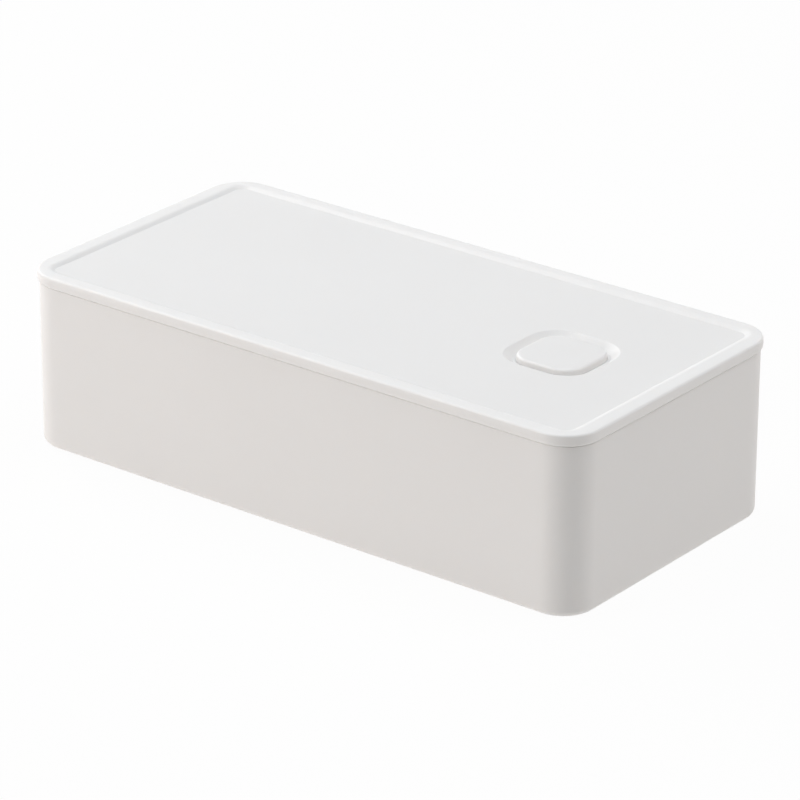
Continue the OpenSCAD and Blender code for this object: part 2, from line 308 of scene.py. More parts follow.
def milky_silicone():
    material, shader, start = new_finish("milky_silicone")
    place = start.node("ShaderNodeTexCoord", output="Object")
    bloom = noise(start, place, BLOOM_SCALE, detail=4.0)
    skin = noise(start, place, SKIN_SCALE)
    feed(tinted(start, bloom, SILICONE_DARK, SILICONE_LIGHT), shader, "Base Color")
    feed(SILICONE_ROUGH + bloom * BLOOM_ROUGH, shader, "Roughness")
    feed(bumped(start, skin, SKIN_DEPTH, strength=0.4), shader, "Normal")
    set_plain(shader, {
        "IOR": 1.41, "Subsurface Weight": 0.35, "Subsurface Radius": (1.0, 1.0, 0.95),
        "Subsurface Scale": 1.5 * MM})
    return material


def bright_steel():
    material, shader, start = new_finish("bright_steel")
    place = start.node("ShaderNodeTexCoord", output="Object")
    drawn = start.node("ShaderNodeMapping", sockets={"Vector": place, "Scale": LINE_STRETCH})
    lines = noise(start, drawn, LINE_SCALE, detail=3.0, roughness=0.7)
    feed(tinted(start, lines, STEEL_DARK, STEEL_LIGHT), shader, "Base Color")
    feed(STEEL_ROUGH + lines * LINE_ROUGH, shader, "Roughness")
    feed(bumped(start, lines, LINE_DEPTH, strength=0.5), shader, "Normal")
    set_plain(shader, {"Metallic": 1.0})
    return material


SILICONE = milky_silicone()
STEEL = bright_steel()
print("other finishes:", SILICONE.name, STEEL.name)

# %% [markdown]
# ## One rule for every shell
#
# The tub, the lid, the button and the valve's pieces all follow one rule: a cross-section that
# runs round a rounded rectangle. A circle is the same rule with its corners meeting. The
# cross-section is written as a short list of corners with a rounding each, and becomes a stack of
# rings. A Geometry Nodes tree then lays a grid over the stack: every ring is worked out from its
# half sizes, its corner radius and its middle, which is exact and leaves clean quads. In the names
# of sizes, EDGE and FILLET are roundings outside and inside a corner, PLAY is the room between two
# pieces, and RUN is how far a flat face goes on past a rounding.

# %% Cross-sections
Outline = namedtuple("Outline", "half_length half_width radius middle")
Ring = namedtuple("Ring", "half_length half_width radius middle height")
ARC_STEPS = 5


def rounded_section(corners, steps=ARC_STEPS):
    """Points of a line through (inset, height, rounding) corners, with an arc at each rounding."""
    points = []
    for place, (inset, height, rounding) in enumerate(corners):
        here = Vector((inset, height))
        if rounding <= 0 or place in (0, len(corners) - 1):
            points.append(here)
            continue
        before = (Vector(corners[place - 1][:2]) - here).normalized()
        after = (Vector(corners[place + 1][:2]) - here).normalized()
        half_angle = before.angle(after) / 2
        pivot = here + (before + after).normalized() * (rounding / math.sin(half_angle))
        start = here + before * (rounding / math.tan(half_angle)) - pivot
        sweep = start.angle_signed(here + after * (rounding / math.tan(half_angle)) - pivot)
        for step in range(steps + 1):
            points.append(pivot + Matrix.Rotation(-sweep * step / steps, 2) @ start)
    return points


def rings_round(outline, points):
    """Rings that follow an outline, one for each (inset, height) point of a section."""
    return [
        Ring(outline.half_length - inset, outline.half_width - inset,
             max(outline.radius - inset, 0), outline.middle, height)
        for inset, height in points
    ]


def centre_ring(middle, height):
    """A ring shrunk to a point, which closes a flat middle."""
    return Ring(0, 0, 0, middle, height)


def circle(radius, middle=0.0):
    return Outline(radius, radius, radius, middle)


# %% How a tree starts and ends
def new_tree(name, inputs, output):
    """Geometry Nodes tree with named inputs; returns it, a starting wire and the inputs' wires."""
    tree = bpy.data.node_groups.new(name, "GeometryNodeTree")
    for key, kind in inputs:
        tree.interface.new_socket(key, in_out="INPUT", socket_type="NodeSocket" + kind)
    tree.interface.new_socket(output, in_out="OUTPUT", socket_type="NodeSocketGeometry")
    given = tree.nodes.new("NodeGroupInput")
    return tree, Wire(tree), [Wire(tree, given.outputs[key]) for key, kind in inputs]


def end_tree(shape, finish):
    """Realizes a shape, gives it its finish and makes it the tree's output."""
    shape = shape.node("GeometryNodeRealizeInstances", sockets={"Geometry": shape})
    shape = shape.node("GeometryNodeSetMaterial", sockets={"Geometry": shape, "Material": finish})
    ending = shape.tree.nodes.new("NodeGroupOutput")
    shape.tree.links.new(shape.socket, ending.inputs[0])


# %% The loft tree
LOFT_WELD = 0.001 * MM
QUARTER_TURN = math.pi / 2


def loft_tree():
    """Geometry Nodes tree that skins a stack of rings with quads."""
    tree, start, (stack, steps, finish) = new_tree("ring_loft", (
        ("Rings", "Geometry"), ("Corner Steps", "Int"), ("Finish", "Material")), "Shell")
    count = start.node("GeometryNodeAttributeDomainSize", sockets={"Geometry": stack},
                       output="Point Count")
    stations = (steps + 1) * 4
    grid = start.node("GeometryNodeMeshGrid", sockets={
        "Vertices X": stations + 1, "Vertices Y": count})
    index = start.node("GeometryNodeInputIndex")
    station = ((index + 0.5) / count).floor()
    ring = index - station * count

    def of_ring(kind, value):
        return start.node("GeometryNodeSampleIndex", {"data_type": kind}, {
            "Geometry": stack, "Value": value, "Index": ring})

    def attribute(name):
        return of_ring("FLOAT", start.node(
            "GeometryNodeInputNamedAttribute", {"data_type": "FLOAT"}, {"Name": name}))

    sizes = of_ring("FLOAT_VECTOR", start.node("GeometryNodeInputPosition"))
    half_length, half_width, height = (
        start.node("ShaderNodeSeparateXYZ", sockets={"Vector": sizes}, output=axis)
        for axis in "XYZ")
    radius, middle = attribute("radius"), attribute("middle")
    corner = ((station + 0.5) / (steps + 1)).floor()
    angle = (corner + (station - corner * (steps + 1)) / steps) * QUARTER_TURN
    side = (corner + 0.5) * QUARTER_TURN
    side_x = side.math("SIGN", side.math("COSINE", side))
    side_y = side.math("SIGN", side.math("SINE", side))
    x = middle + side_x * (half_length - radius) + radius * angle.math("COSINE", angle)
    y = side_y * (half_width - radius) + radius * angle.math("SINE", angle)
    point = start.node("ShaderNodeCombineXYZ", sockets={"X": x, "Y": y, "Z": height})
    shell = start.node("GeometryNodeSetPosition", sockets={"Geometry": grid, "Position": point})
    shell = start.node("GeometryNodeMergeByDistance", sockets={
        "Geometry": shell, "Distance": LOFT_WELD})
    end_tree(shell, finish)
    return tree


LOFT = loft_tree()
print("loft tree with", len(LOFT.nodes), "nodes")


# %% From rings to a finished mesh
CORNER_STEPS = 14
MESH_WELD = 0.0005 * MM
SHARP_ANGLE = math.radians(38)
LARGE_FACES_FIRST = 100


def set_input(modifier, name, value):
    """Sets a Geometry Nodes input by its identifier."""
    for item in modifier.node_group.interface.items_tree:
        if item.in_out == "INPUT" and item.name == name:
            modifier[item.identifier] = value


def grown(name, seed_mesh, tree, values):
    """Runs a Geometry Nodes tree on a seed mesh and returns the plain mesh that it makes."""
    seed = bpy.data.objects.new(name, seed_mesh)
    scene.collection.objects.link(seed)
    modifier = seed.modifiers.new("grow", "NODES")
    modifier.node_group = tree
    for key, value in values.items():
        set_input(modifier, key, value)
    evaluated = seed.evaluated_get(bpy.context.evaluated_depsgraph_get())
    mesh = bpy.data.meshes.new_from_object(evaluated)
    seed.modifiers.remove(modifier)
    bpy.data.objects.remove(seed)
    mesh.name = name
    return mesh


def lofted(name, rings, finish, corner_steps=CORNER_STEPS):
    """Plain mesh of a stack of rings."""
    seed = bpy.data.meshes.new(name + "_rings")
    seed.from_pydata([(r.half_length, r.half_width, r.height) for r in rings], [], [])
    for key in ("radius", "middle"):
        values = seed.attributes.new(key, "FLOAT", "POINT")
        values.data.foreach_set("value", [getattr(r, key) for r in rings])
    return grown(name, seed, LOFT, {"Corner Steps": corner_steps, "Finish": finish})


def finished(mesh):
    """Welds a mesh, turns its faces outwards and shades it smooth between sharp edges."""
    work = bmesh.new()
    work.from_mesh(mesh)
    bmesh.ops.remove_doubles(work, verts=work.verts, dist=MESH_WELD)
    bmesh.ops.dissolve_degenerate(work, edges=work.edges, dist=MESH_WELD)
    loose = [edge for edge in work.edges if not edge.link_faces]
    bmesh.ops.delete(work, geom=loose, context="EDGES")
    bmesh.ops.recalc_face_normals(work, faces=work.faces)
    work.to_mesh(mesh)
    work.free()
    mesh.shade_smooth()
    mesh.set_sharp_from_angle(angle=SHARP_ANGLE)
    return mesh


def edge_uses(mesh):
    """How many faces meet at each edge."""
    uses = {key: 0 for key in mesh.edge_keys}
    for polygon in mesh.polygons:
        for key in polygon.edge_keys:
            uses[key] += 1
    return uses.values()


def piece(name, mesh, body, node):
    """A finished piece that stands for a CAD node and moves with its body."""
    made = bpy.data.objects.new(name, finished(mesh))
    scene.collection.objects.link(made)
    even = made.modifiers.new("even_shading", "WEIGHTED_NORMAL")
    even.keep_sharp = True
    even.weight = LARGE_FACES_FIRST
    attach(made, body)
    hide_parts(node)
    open_edges = sum(1 for count in edge_uses(mesh) if count != 2)
    print(f"{name}: {len(mesh.polygons)} faces, {open_edges} open edges")
    return made


# %% [markdown]
# ## The tub
#
# The tub is one thin-walled moulding: straight walls with rounded corners, a rounded base edge, a
# flat band to stand on with a shallow hollow inside it, and a tongue round the mouth that the
# lid's gasket closes on. The little dimple in the middle of the base is where the plastic entered
# the mould. One cross-section, run round the outline, gives all of it.

# %% Tub
CORNER_RADIUS = 14.0 * MM
TUB_WALL = 2.2 * MM
TUB_FLOOR = 2.4 * MM
BASE_EDGE = 2.6 * MM
INNER_EDGE = 2.0 * MM
BASE_RECESS = 0.8 * MM
STANDING_BAND = 7.0 * MM
HOLLOW_RADIUS = 7.0 * MM
SKIRT_THICKNESS = 1.3 * MM
SKIRT_PLAY = 0.25 * MM
LID_EDGE_HEIGHT = 4.4 * MM
SHADOW_GAP = 0.12 * MM
GATE_RADIUS = 4.0 * MM
GATE_DEPTH = 0.5 * MM
GATE_NUB = 0.8 * MM
NUB_EDGE = 0.15 * MM
NUB_FILLET = 0.1 * MM
GATE_FILLET = 0.3 * MM
HOLLOW_EDGE = 0.5 * MM
SOFT = 0.25 * MM

LID_OUTLINE = Outline(HALF_LENGTH, HALF_WIDTH, CORNER_RADIUS, 0.0)
SKIRT_BOTTOM = RIM_TOP - LID_EDGE_HEIGHT
SHOULDER = SKIRT_BOTTOM - SHADOW_GAP
TONGUE_INSET = SKIRT_THICKNESS + SKIRT_PLAY
CAVITY_INSET = TUB_INSET + TUB_WALL


def base_rings():
    """Rings from the gate mark outwards over the hollow to the standing band."""
    gate = rounded_section([
        (GATE_RADIUS, BASE_RECESS + GATE_DEPTH - GATE_NUB / 2, 0),
        (GATE_RADIUS - GATE_NUB, BASE_RECESS + GATE_DEPTH - GATE_NUB / 2, NUB_EDGE),
        (GATE_RADIUS - GATE_NUB, BASE_RECESS + GATE_DEPTH, NUB_FILLET),
        (0, BASE_RECESS + GATE_DEPTH, GATE_FILLET),
        (0, BASE_RECESS, SOFT),
        (-GATE_RADIUS, BASE_RECESS, 0),
    ])
    inset = TUB_INSET + BASE_EDGE + STANDING_BAND
    hollow = Outline(HALF_LENGTH - inset, HALF_WIDTH - inset, HOLLOW_RADIUS, 0.0)
    step = rounded_section([
        (4 * BASE_RECESS, BASE_RECESS, 0),
        (BASE_RECESS, BASE_RECESS, HOLLOW_EDGE),
        (0, 0, HOLLOW_EDGE),
        (-2 * BASE_RECESS, 0, 0),
    ])
    return rings_round(circle(GATE_RADIUS), gate) + rings_round(hollow, step)


def tub_rings():
    """From the base over the outside, the shoulder and the tongue to the floor inside."""
    wall = rounded_section([
        (TUB_INSET + 2 * BASE_EDGE, 0, 0),
        (TUB_INSET, 0, BASE_EDGE),
        (TUB_INSET, SHOULDER, SOFT),
        (TONGUE_INSET, SHOULDER, SOFT / 2),
        (TONGUE_INSET, TONGUE_TOP, SOFT),
        (CAVITY_INSET, TONGUE_TOP, SOFT),
        (CAVITY_INSET, TUB_FLOOR, INNER_EDGE),
        (CAVITY_INSET + 3 * INNER_EDGE, TUB_FLOOR, 0),
    ], steps=7)
    return base_rings() + rings_round(LID_OUTLINE, wall) + [centre_ring(0.0, TUB_FLOOR)]


piece("tub_shell", lofted("tub_shell", tub_rings(), TUB_PLASTIC), "tub", "tub")

# %% [markdown]
# ## The lid
#
# Seen from above the lid is a flat panel inside a raised rim, with a dish near one end for the
# button. Below it has a skirt round the outside, a channel for the gasket, a wall that plugs into
# the tub, and a thick pad round the button's well. Its rings close on themselves: over the rim and
# the skirt, under the panel to the pad, up through the well and the dish, and back over the panel.
# Nothing on it is quite flat: the rim's top falls a little towards the outside, its inner side
# rolls down to the panel, and the skirt swells at half its height, so that its lower part lies in
# shade.

# %% Lid
RIM_SIDE_WIDTH = 4.5 * MM
RIM_END_WIDTH = 5.3 * MM
RIM_SLOPE = 2.7 * MM
RIM_CROWN = 0.12 * MM
RIM_TURN = 0.8 * MM
RIM_ROUNDING = 4.0 * MM
RIM_FLAT = 1.6 * MM
PANEL_RADIUS = 3.8 * MM
PANEL_FILLET = 0.4 * MM
LID_EDGE = 0.85 * MM
EDGE_START = 1.4 * LID_EDGE
SKIRT_EDGE = 1.0 * MM
SKIRT_SWELL = 0.32 * MM
SKIRT_CURVE = 6.0 * MM
RIM_THICKNESS = 1.8 * MM
PANEL_THICKNESS = 1.8 * MM
PLUG_PLAY = 0.5 * MM
PLUG_WALL = 1.6 * MM
BUTTON_RADIUS = 8.2 * MM
BUTTON_PLAY = 0.35 * MM
DISH_HALF = 35.2 * MM / 2
DISH_RADIUS = 11.3 * MM
DISH_DEPTH = 2.3 * MM
DISH_FLOOR = 0.45 * MM
DISH_HOLLOW = 1.0 * MM
DISH_EDGE = 0.8 * MM
DISH_LIP = 0.3 * MM
DISH_LIP_HEIGHT = 0.6 * MM
DISH_LIP_EDGE = 0.1 * MM
WELL_RIM = 0.1 * MM
FILLET = 0.6 * MM
POCKET_RUN, PAD_RUN, DISH_RUN = 2.0 * MM, 1.5 * MM, 1.2 * MM
PAD_DEPTH = 4.0 * MM
HOUSING_WALL = 1.8 * MM
FLANGE_LEDGE = 5.2 * MM

CHANNEL_TOP = RIM_TOP - RIM_THICKNESS
PANEL_UNDER = PANEL_TOP - PANEL_THICKNESS
PLUG_INSET = CAVITY_INSET + PLUG_PLAY
POCKET_INSET = PLUG_INSET + PLUG_WALL
PAD_BOTTOM = PANEL_UNDER - PAD_DEPTH
WELL = Outline(BUTTON_HALF + BUTTON_PLAY, BUTTON_HALF + BUTTON_PLAY,
               BUTTON_RADIUS + BUTTON_PLAY, VENT_X)
DISH = Outline(DISH_HALF, DISH_HALF, DISH_RADIUS, VENT_X)
DISH_FLARE = DISH_HALF - WELL.half_length
PAD_REACH = HOUSING_WALL + FLANGE_LEDGE


def rim_height(inset):
    """Height of the rim's gently crowned top, at a distance inwards from the lid's outside."""
    return RIM_TOP - RIM_CROWN * (1 - inset / RIM_SIDE_WIDTH)


def lid_rim_rings():
    """From the panel up the rim's rounded inner side, which is wider at the short ends."""
    foot = Outline(HALF_LENGTH - RIM_END_WIDTH, HALF_WIDTH - RIM_SIDE_WIDTH,
                   PANEL_RADIUS + RIM_SLOPE, 0.0)
    slope = rounded_section([
        (3 * RIM_SLOPE, PANEL_TOP, 0),
        (RIM_SLOPE, PANEL_TOP, PANEL_FILLET),
        (RIM_TURN, rim_height(RIM_SIDE_WIDTH + RIM_TURN), RIM_ROUNDING),
        (-RIM_FLAT, rim_height(RIM_SIDE_WIDTH - RIM_FLAT), 0),
    ], steps=8)
    return rings_round(foot, slope)


def lid_under_rings():
    """From the rim over the outer edge, the skirt, the channel and the plug wall to the pocket."""
    under = rounded_section([
        (EDGE_START, rim_height(EDGE_START), 0),
        (SKIRT_SWELL, rim_height(0), LID_EDGE),
        (0, (RIM_TOP + SKIRT_BOTTOM) / 2, SKIRT_CURVE),
        (SKIRT_SWELL, SKIRT_BOTTOM, SKIRT_EDGE),
        (SKIRT_THICKNESS, SKIRT_BOTTOM, SOFT / 2),
        (SKIRT_THICKNESS, CHANNEL_TOP, SOFT),
        (PLUG_INSET, CHANNEL_TOP, SOFT),
        (PLUG_INSET, PLUG_BOTTOM, SOFT),
        (POCKET_INSET, PLUG_BOTTOM, SOFT),
        (POCKET_INSET, PANEL_UNDER, FILLET),
        (POCKET_INSET + POCKET_RUN, PANEL_UNDER, 0),
    ])
    return rings_round(LID_OUTLINE, under)


def lid_vent_rings():
    """From the pad under the panel up through the well, over its lip and up the dish."""
    lip = PANEL_TOP - DISH_DEPTH
    well = rounded_section([
        (-PAD_REACH - PAD_RUN, PANEL_UNDER, 0),
        (-PAD_REACH, PANEL_UNDER, FILLET),
        (-PAD_REACH, PAD_BOTTOM, SOFT),
        (0, PAD_BOTTOM, SOFT),
        (0, lip - DISH_LIP_HEIGHT - DISH_LIP, DISH_LIP_EDGE),
        (DISH_LIP, lip - DISH_LIP_HEIGHT, DISH_LIP_EDGE),
        (DISH_LIP, lip, DISH_LIP_EDGE),
        (0, lip, 0),
    ])
    dish = rounded_section([
        (DISH_FLARE - WELL_RIM, lip, 0),
        (DISH_FLARE - DISH_FLOOR, lip, DISH_HOLLOW),
        (0, PANEL_TOP, DISH_EDGE),
        (-DISH_RUN, PANEL_TOP, 0),
    ])
    return rings_round(WELL, well) + rings_round(DISH, dish)


def lid_rings():
    """All of the lid's rings; the last is the first again, which closes the shell."""
    rings = lid_rim_rings() + lid_under_rings() + lid_vent_rings()
    return rings + rings[:1]


piece("lid_shell", lofted("lid_shell", lid_rings(), LID_PLASTIC), "lid", "lid")

# %% [markdown]
# ## The vent button
#
# A hollow cap with a softly rounded top edge and a side that leans in a little towards it. A
# socket under its middle takes the stem. The cap and the socket are two sections in one: out along
# the top, down the side, up inside, and back to the socket.

# %% Vent button
BUTTON_WALL = 1.6 * MM
BUTTON_EDGE = 0.95 * MM
BUTTON_TAPER = 0.3 * MM
BUTTON_TAPER_HEIGHT = 2.6 * MM
STEM_RADIUS = 2.5 * MM
BOSS_WALL = 1.8 * MM
BOSS_DROP = 3.2 * MM
BOSS_FILLET = 0.4 * MM
BOSS_RUN = 1.0 * MM
STEM_COVER = 0.6 * MM
BOSS_RADIUS = STEM_RADIUS + BOSS_WALL
BUTTON_CEILING = PANEL_TOP - BUTTON_WALL
BUTTON_OUTLINE = Outline(BUTTON_HALF, BUTTON_HALF, BUTTON_RADIUS, VENT_X)


def button_rings():
    cap = rounded_section([
        (3 * BUTTON_EDGE, PANEL_TOP, 0),
        (BUTTON_TAPER, PANEL_TOP, BUTTON_EDGE),
        (0, PANEL_TOP - BUTTON_TAPER_HEIGHT, 2 * BUTTON_TAPER_HEIGHT),
        (0, BUTTON_LOW.z, SOFT),
        (BUTTON_WALL, BUTTON_LOW.z, SOFT),
        (BUTTON_WALL, BUTTON_CEILING, FILLET),
        (2.2 * BUTTON_WALL, BUTTON_CEILING, 0),
    ])
    socket = rounded_section([
        (-BOSS_RUN, BUTTON_CEILING, 0),
        (0, BUTTON_CEILING, BOSS_FILLET),
        (0, BUTTON_CEILING - BOSS_DROP, SOFT),
        (BOSS_WALL, BUTTON_CEILING - BOSS_DROP, SOFT),
        (BOSS_WALL, BUTTON_CEILING + STEM_COVER, 0),
    ])
    return ([centre_ring(VENT_X, PANEL_TOP)] + rings_round(BUTTON_OUTLINE, cap)
            + rings_round(circle(BOSS_RADIUS, VENT_X), socket)
            + [centre_ring(VENT_X, BUTTON_CEILING + STEM_COVER)])


piece("vent_button_cap", lofted("vent_button_cap", button_rings(), LID_PLASTIC),
      "vent", "vent_button")

# %% [markdown]
# ## Rows of holes and copies
#
# The valve under the button has things that repeat round a circle: air ports, screw holes, screws,
# the arms of the cross in a screw's head. Placing each by hand would be tedious and easy to get
# wrong. Two more Geometry Nodes trees share one rule for a ring of points. The first puts cutters
# on the points and takes them out of a shell with one Mesh Boolean; the second puts copies there.


# %% A ring of points
RING_INPUTS = (("Shape", "Geometry"), ("Count", "Int"), ("Circle", "Float"), ("Turn", "Float"),
               ("Middle", "Vector"))


def ring_of_points(start, count, spread, turn, middle):
    """Points round a circle, and the turn that makes a copy at each of them look outwards."""
    index = start.node("GeometryNodeInputIndex")
    angle = turn + index * (2 * math.pi) / count
    place = start.node("ShaderNodeCombineXYZ", sockets={
        "X": spread * angle.math("COSINE", angle), "Y": spread * angle.math("SINE", angle)})
    points = start.node("GeometryNodeMeshLine", sockets={"Count": count, "Offset": (0, 0, 0)})
    points = start.node("GeometryNodeSetPosition", sockets={
        "Geometry": points, "Position": place, "Offset": middle})
    return points, start.node("ShaderNodeCombineXYZ", sockets={"Z": angle})


# %% The cutting tree and the copying tree
DRILL_SIDES = 24


def cutting_tree():
    """Takes a ring of round or square cutters out of a shell."""
    tree, start, (shell, count, spread, turn, middle, size, is_round, finish) = new_tree(
        "ring_of_cuts", RING_INPUTS + (
            ("Cut Size", "Vector"), ("Round", "Bool"), ("Finish", "Material")), "Cut Shape")
    points, outwards = ring_of_points(start, count, spread, turn, middle)
    width, depth = (start.node("ShaderNodeSeparateXYZ", sockets={"Vector": size}, output=axis)
                    for axis in "XZ")
    drill = start.node("GeometryNodeMeshCylinder", sockets={
        "Vertices": DRILL_SIDES, "Radius": width / 2, "Depth": depth}, output="Mesh")
    block = start.node("GeometryNodeMeshCube", sockets={"Size": size}, output="Mesh")
    cutter = start.node("GeometryNodeSwitch", {"input_type": "GEOMETRY"}, {
        "Switch": is_round, "False": block, "True": drill})
    cutters = start.node("GeometryNodeInstanceOnPoints", sockets={
        "Points": points, "Instance": cutter, "Rotation": outwards})
    cutters = start.node("GeometryNodeRealizeInstances", sockets={"Geometry": cutters})
    cut = start.node("GeometryNodeMeshBoolean", {"operation": "DIFFERENCE", "solver": "EXACT"}, {
        "Mesh 1": shell, "Mesh 2": cutters, "Self Intersection": True})
    end_tree(cut, finish)
    return tree


def copying_tree():
    """Puts a ring of copies of a shape round a circle."""
    tree, start, (shape, count, spread, turn, middle, finish) = new_tree(
        "ring_of_copies", RING_INPUTS + (("Finish", "Material"),), "Copies")
    points, outwards = ring_of_points(start, count, spread, turn, middle)
    copies = start.node("GeometryNodeInstanceOnPoints", sockets={
        "Points": points, "Instance": shape, "Rotation": outwards})
    end_tree(copies, finish)
    return tree


CUTTING = cutting_tree()
COPYING = copying_tree()
print("ring trees:", CUTTING.name, COPYING.name)

# %% [markdown]
# ## The lid's gasket
#
# A milky silicone ring sits in the channel of the lid and seals on the tub's tongue. It is hidden
# until the lid is lifted. Its section has two small lips with a groove between them, and runs
# round the lid's own outline.

# %% Lid gasket
GASKET_PLAY = 0.1 * MM
LIP_WIDTH = 0.4 * MM
LIP_GROOVE = 0.3 * MM
LIP_EDGE = 0.12 * MM
GROOVE_ROUNDING = 0.15 * MM
GASKET_EDGE = 0.2 * MM


def gasket_rings():
    outer = SKIRT_THICKNESS + GASKET_PLAY
    inner = PLUG_INSET - GASKET_PLAY
    waist = (CHANNEL_TOP + TONGUE_TOP) / 2
    middle = (TONGUE_INSET + CAVITY_INSET) / 2
    section = rounded_section([
        (middle, CHANNEL_TOP, 0),
        (inner, CHANNEL_TOP, GASKET_EDGE),
        (inner, waist, GASKET_EDGE),
        (CAVITY_INSET, TONGUE_TOP, LIP_EDGE),
        (CAVITY_INSET - LIP_WIDTH, TONGUE_TOP, LIP_EDGE),
        (middle, TONGUE_TOP + LIP_GROOVE, GROOVE_ROUNDING),
        (TONGUE_INSET + LIP_WIDTH, TONGUE_TOP, LIP_EDGE),
        (TONGUE_INSET, TONGUE_TOP, LIP_EDGE),
        (outer, waist, GASKET_EDGE),
        (outer, CHANNEL_TOP, GASKET_EDGE),
        (middle, CHANNEL_TOP, 0),
    ], steps=3)
    return rings_round(LID_OUTLINE, section)


piece("lid_gasket_ring", lofted("lid_gasket_ring", gasket_rings(), SILICONE),
      "lid", "lid_gasket")

# %% [markdown]
# ## The valve housing
#
# A cup is screwed under the lid. It guides the button's stem, carries the ring-shaped seat that
# the soft disc closes on, and lets the air through six ports. The cup is one stack of rings that
# changes from circles in the middle to rounded squares outside; the ports and screw holes are then
# cut. A flat soft frame between the cup and the lid keeps that joint tight, and has the same
# holes.

# %% Housing sizes
HOUSING_LOW, HOUSING_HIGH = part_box("vent_housing")
FLANGE_TOP = HOUSING_HIGH.z
SEAT_BOTTOM = HOUSING_LOW.z
FLANGE_BOTTOM = FLANGE_TOP - HOUSING_WALL
SEAT_HEIGHT = 0.5 * MM
CUP_BOTTOM = SEAT_BOTTOM + SEAT_HEIGHT
CUP_FLOOR = CUP_BOTTOM + HOUSING_WALL
GUIDE_TOP = 58.8 * MM
GUIDE_PLAY = 0.06 * MM
GUIDE_RADIUS = STEM_RADIUS + GUIDE_PLAY
GUIDE_FILLET = 0.4 * MM
PORT_COUNT = 6
PORT_RADIUS = 1.1 * MM
PORT_MARGIN = 0.4 * MM
PORT_CIRCLE = BOSS_RADIUS + PORT_RADIUS + PORT_MARGIN
PORT_OVERSHOOT = 1.5 * MM
SEAT_RADIUS = PORT_CIRCLE + PORT_RADIUS + PORT_MARGIN
SEAT_WIDTH = 0.8 * MM
SEAT_FILLET, SEAT_EDGE = 0.15 * MM, 0.2 * MM
SEAT_RUN_OUT, SEAT_RUN_IN = 0.4 * MM, 0.3 * MM
CUP_EDGE = 0.8 * MM
CUP_RUN = 1.5 * MM
FLANGE_FILLET = 0.5 * MM
SCREW_COUNT = 4
SCREW_RADIUS = 1.1 * MM
SCREW_PLAY = 0.2 * MM
SCREW_HOLE = SCREW_RADIUS + SCREW_PLAY
SCREW_CIRCLE = 14.62 * MM * math.sqrt(2)
EIGHTH_TURN = math.pi / 4
HOLE_DEPTH = 20 * MM
print(f"housing {1e3 * (FLANGE_TOP - SEAT_BOTTOM):.1f} mm deep, {PORT_COUNT} ports on a circle of"
      f" {2e3 * PORT_CIRCLE:.1f} mm, {SCREW_COUNT} screws on one of {2e3 * SCREW_CIRCLE:.1f} mm")


# %% Vent housing
def with_holes(name, mesh, finish, count, spread, turn, radius, height):
    """Drills a ring of round holes round the vent's middle."""
    return grown(name, mesh, CUTTING, {
        "Count": count, "Circle": spread, "Turn": turn, "Middle": (VENT_X, 0.0, height),
        "Cut Size": (2 * radius, 2 * radius, HOLE_DEPTH), "Round": True, "Finish": finish})


def with_screw_holes(name, mesh, finish, height):
    """Drills the holes that the screws go through."""
    return with_holes(name, mesh, finish, SCREW_COUNT, SCREW_CIRCLE, EIGHTH_TURN, SCREW_HOLE,
                      height)


def housing_rings():
    """Up the guide's bore and down its outside, round the cup and its flange, over the seat."""
    outside = GUIDE_RADIUS - BOSS_RADIUS
    guide = rounded_section([
        (0, CUP_BOTTOM, 0),
        (0, GUIDE_TOP, SOFT),
        (outside, GUIDE_TOP, SOFT),
        (outside, CUP_FLOOR, GUIDE_FILLET),
        (outside - GUIDE_FILLET, CUP_FLOOR, 0),
    ])
    cup = rounded_section([
        (CUP_RUN, CUP_FLOOR, 0),
        (0, CUP_FLOOR, CUP_EDGE),
        (0, FLANGE_TOP, SOFT),
        (-PAD_REACH, FLANGE_TOP, SOFT),
        (-PAD_REACH, FLANGE_BOTTOM, SOFT),
        (-HOUSING_WALL, FLANGE_BOTTOM, FLANGE_FILLET),
        (-HOUSING_WALL, CUP_BOTTOM, CUP_EDGE),
        (CUP_RUN, CUP_BOTTOM, 0),
    ])
    seat = rounded_section([
        (-SEAT_WIDTH - SEAT_RUN_OUT, CUP_BOTTOM, 0),
        (-SEAT_WIDTH, CUP_BOTTOM, SEAT_FILLET),
        (-SEAT_WIDTH, SEAT_BOTTOM, SEAT_EDGE),
        (0, SEAT_BOTTOM, SEAT_EDGE),
        (0, CUP_BOTTOM, SEAT_FILLET),
        (SEAT_RUN_IN, CUP_BOTTOM, 0),
    ])
    rings = (rings_round(circle(GUIDE_RADIUS, VENT_X), guide) + rings_round(WELL, cup)
             + rings_round(circle(SEAT_RADIUS, VENT_X), seat))
    return rings + rings[:1]


def housing_mesh():
    cup = lofted("vent_housing_cup", housing_rings(), TUB_PLASTIC)
    cup = with_holes("vent_housing_cup", cup, TUB_PLASTIC, PORT_COUNT, PORT_CIRCLE, 0.0,
                     PORT_RADIUS, CUP_FLOOR - HOLE_DEPTH / 2 + PORT_OVERSHOOT)
    return with_screw_holes("vent_housing_cup", cup, TUB_PLASTIC, FLANGE_TOP)


piece("vent_housing_cup", housing_mesh(), "lid", "vent_housing")


# %% Housing seal
SEAL_THICKNESS = 0.8 * MM
SEAL_EDGE = 0.15 * MM


def seal_mesh():
    top = FLANGE_TOP + SEAL_THICKNESS
    section = rounded_section([
        (-PAD_REACH / 2, top, 0),
        (-PAD_REACH, top, SEAL_EDGE),
        (-PAD_REACH, FLANGE_TOP, SEAL_EDGE),
        (0, FLANGE_TOP, SEAL_EDGE),
        (0, top, SEAL_EDGE),
        (-PAD_REACH / 2, top, 0),
    ], steps=3)
    frame_ring = lofted("housing_seal_frame", rings_round(WELL, section), SILICONE)
    return with_screw_holes("housing_seal_frame", frame_ring, SILICONE, top)


piece("housing_seal_frame", seal_mesh(), "lid", "housing_seal")

